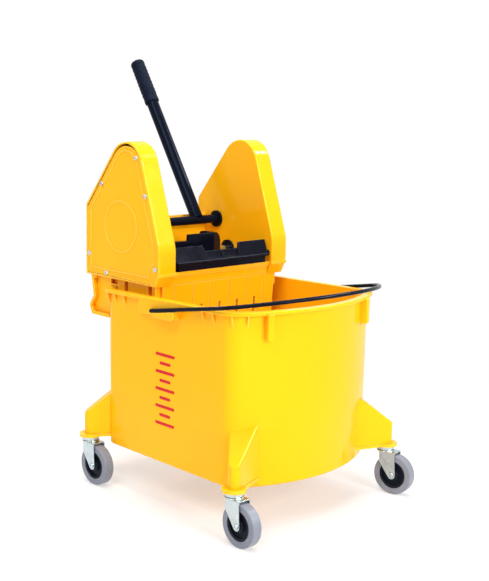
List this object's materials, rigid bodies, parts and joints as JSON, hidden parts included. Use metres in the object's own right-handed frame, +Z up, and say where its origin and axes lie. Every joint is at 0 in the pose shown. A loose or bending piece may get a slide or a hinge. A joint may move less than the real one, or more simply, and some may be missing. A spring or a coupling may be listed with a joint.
{
  "type": "mop bucket with down-press wringer",
  "caption": "Yellow mop bucket on grey swivel casters with a bail, and a lift-off down-press wringer hooked on its back rim, worked by a black lever.",
  "frame": {"origin": "on the floor, midway between the four casters", "axes": "+Z up; -Y towards the bowed front of the bucket; +X to the right when the wringer end is behind, which is the lever's side"},
  "size_m": [0.432, 0.6652, 0.7936],
  "materials": {
    "yellow_plastic": "glossy moulded yellow plastic",
    "black_plastic": "satin moulded black plastic",
    "gear_plastic": "natural gear plastic",
    "wheel_plastic": "matte black moulded wheel core",
    "grey_tyre": "grey non-marking tread",
    "black_rubber": "dimpled black grip rubber",
    "black_paint": "black powder coat on steel",
    "black_wire": "black coated steel wire",
    "zinc_steel": "bright zinc plate on steel",
    "bright_screws": "bright plated screw heads"
  },
  "bodies": {
    "bucket": {"bucket_tub": "yellow_plastic", "caster_stems": "zinc_steel"},
    "bail": {"bail_wire": "black_wire"},
    "wringer": {"wringer_housing": "yellow_plastic", "right_ear_cover": "yellow_plastic", "left_ear_cover": "yellow_plastic", "right_cover_screws": "bright_screws", "left_cover_screws": "bright_screws", "lever_shaft_bushes": "black_plastic", "press_shaft_bushes": "black_plastic", "idler_pins": "zinc_steel", "idler_clips": "zinc_steel", "front_guard": "black_plastic", "front_guard_screws": "bright_screws"},
    "lever": {"lever_shaft": "black_paint", "lever_tube": "black_paint", "lever_plug": "zinc_steel", "lever_stud": "black_paint", "lever_grip": "black_rubber", "right_drive_pinion": "gear_plastic", "left_drive_pinion": "gear_plastic", "lever_shaft_washers": "zinc_steel"},
    "right_idler": {"right_idler_gear": "gear_plastic"},
    "left_idler": {"left_idler_gear": "gear_plastic"},
    "press": {"press_shaft": "zinc_steel", "press_plate": "black_plastic", "press_pins": "zinc_steel", "right_sector_gear": "gear_plastic", "left_sector_gear": "gear_plastic"},
    "front_left_swivel_body": {"front_left_fork": "zinc_steel", "front_left_axle_bolt": "zinc_steel", "front_left_axle_nut": "zinc_steel"},
    "front_left_roller_body": {"front_left_wheel_bush": "zinc_steel", "front_left_wheel": "wheel_plastic", "front_left_tyre": "grey_tyre"},
    "front_right_swivel_body": {"front_right_fork": "zinc_steel", "front_right_axle_bolt": "zinc_steel", "front_right_axle_nut": "zinc_steel"},
    "front_right_roller_body": {"front_right_wheel_bush": "zinc_steel", "front_right_wheel": "wheel_plastic", "front_right_tyre": "grey_tyre"},
    "rear_left_swivel_body": {"rear_left_fork": "zinc_steel", "rear_left_axle_bolt": "zinc_steel", "rear_left_axle_nut": "zinc_steel"},
    "rear_left_roller_body": {"rear_left_wheel_bush": "zinc_steel", "rear_left_wheel": "wheel_plastic", "rear_left_tyre": "grey_tyre"},
    "rear_right_swivel_body": {"rear_right_fork": "zinc_steel", "rear_right_axle_bolt": "zinc_steel", "rear_right_axle_nut": "zinc_steel"},
    "rear_right_roller_body": {"rear_right_wheel_bush": "zinc_steel", "rear_right_wheel": "wheel_plastic", "rear_right_tyre": "grey_tyre"}
  },
  "joints": [
    {"name": "wringer_lift", "type": "slide", "parent": "bucket", "child": "wringer", "axis": [0, 0, 1], "range_m": [0, 0.2]},
    {"name": "lever_turn", "type": "hinge", "parent": "wringer", "child": "lever", "pos_m": [0, 0.2, 0.48], "axis": [1, 0, 0], "range_deg": [0, 110]},
    {"name": "right_idler_turn", "type": "hinge", "parent": "wringer", "child": "right_idler", "pos_m": [0, 0.15337, 0.48592], "axis": [1, 0, 0], "range_deg": [-149, 0]},
    {"name": "left_idler_turn", "type": "hinge", "parent": "wringer", "child": "left_idler", "pos_m": [0, 0.15337, 0.48592], "axis": [1, 0, 0], "range_deg": [-149, 0]},
    {"name": "press_swing", "type": "hinge", "parent": "wringer", "child": "press", "pos_m": [0, 0.165, 0.424], "axis": [1, 0, 0], "range_deg": [0, 69.5]},
    {"name": "bail_swing", "type": "hinge", "parent": "bucket", "child": "bail", "pos_m": [0, 0.032, 0.3525], "axis": [-1, 0, 0], "range_deg": [0, 80]},
    {"name": "front_left_swivel", "type": "hinge", "parent": "bucket", "child": "front_left_swivel_body", "pos_m": [-0.193, -0.198, 0.0785], "axis": [0, 0, 1], "continuous": true},
    {"name": "front_left_roll", "type": "hinge", "parent": "front_left_swivel_body", "child": "front_left_roller_body", "pos_m": [-0.193, -0.218, 0.0375], "axis": [1, 0, 0], "continuous": true},
    {"name": "front_right_swivel", "type": "hinge", "parent": "bucket", "child": "front_right_swivel_body", "pos_m": [0.193, -0.198, 0.0785], "axis": [0, 0, 1], "continuous": true},
    {"name": "front_right_roll", "type": "hinge", "parent": "front_right_swivel_body", "child": "front_right_roller_body", "pos_m": [0.19733, -0.21753, 0.0375], "axis": [0.9763, 0.2164, 0], "continuous": true},
    {"name": "rear_left_swivel", "type": "hinge", "parent": "bucket", "child": "rear_left_swivel_body", "pos_m": [-0.193, 0.198, 0.0785], "axis": [0, 0, 1], "continuous": true},
    {"name": "rear_left_roll", "type": "hinge", "parent": "rear_left_swivel_body", "child": "rear_left_roller_body", "pos_m": [-0.1923, 0.17801, 0.0375], "axis": [0.9994, 0.0349, 0], "continuous": true},
    {"name": "rear_right_swivel", "type": "hinge", "parent": "bucket", "child": "rear_right_swivel_body", "pos_m": [0.193, 0.198, 0.0785], "axis": [0, 0, 1], "continuous": true},
    {"name": "rear_right_roll", "type": "hinge", "parent": "rear_right_swivel_body", "child": "rear_right_roller_body", "pos_m": [0.18816, 0.17859, 0.0375], "axis": [0.9703, -0.2419, 0], "continuous": true}
  ],
  "couplings": [
    {"joint": "right_idler_turn", "follows": "lever_turn", "ratio": -1.35},
    {"joint": "left_idler_turn", "follows": "lever_turn", "ratio": -1.35},
    {"joint": "press_swing", "follows": "lever_turn", "ratio": 0.62791}
  ]
}
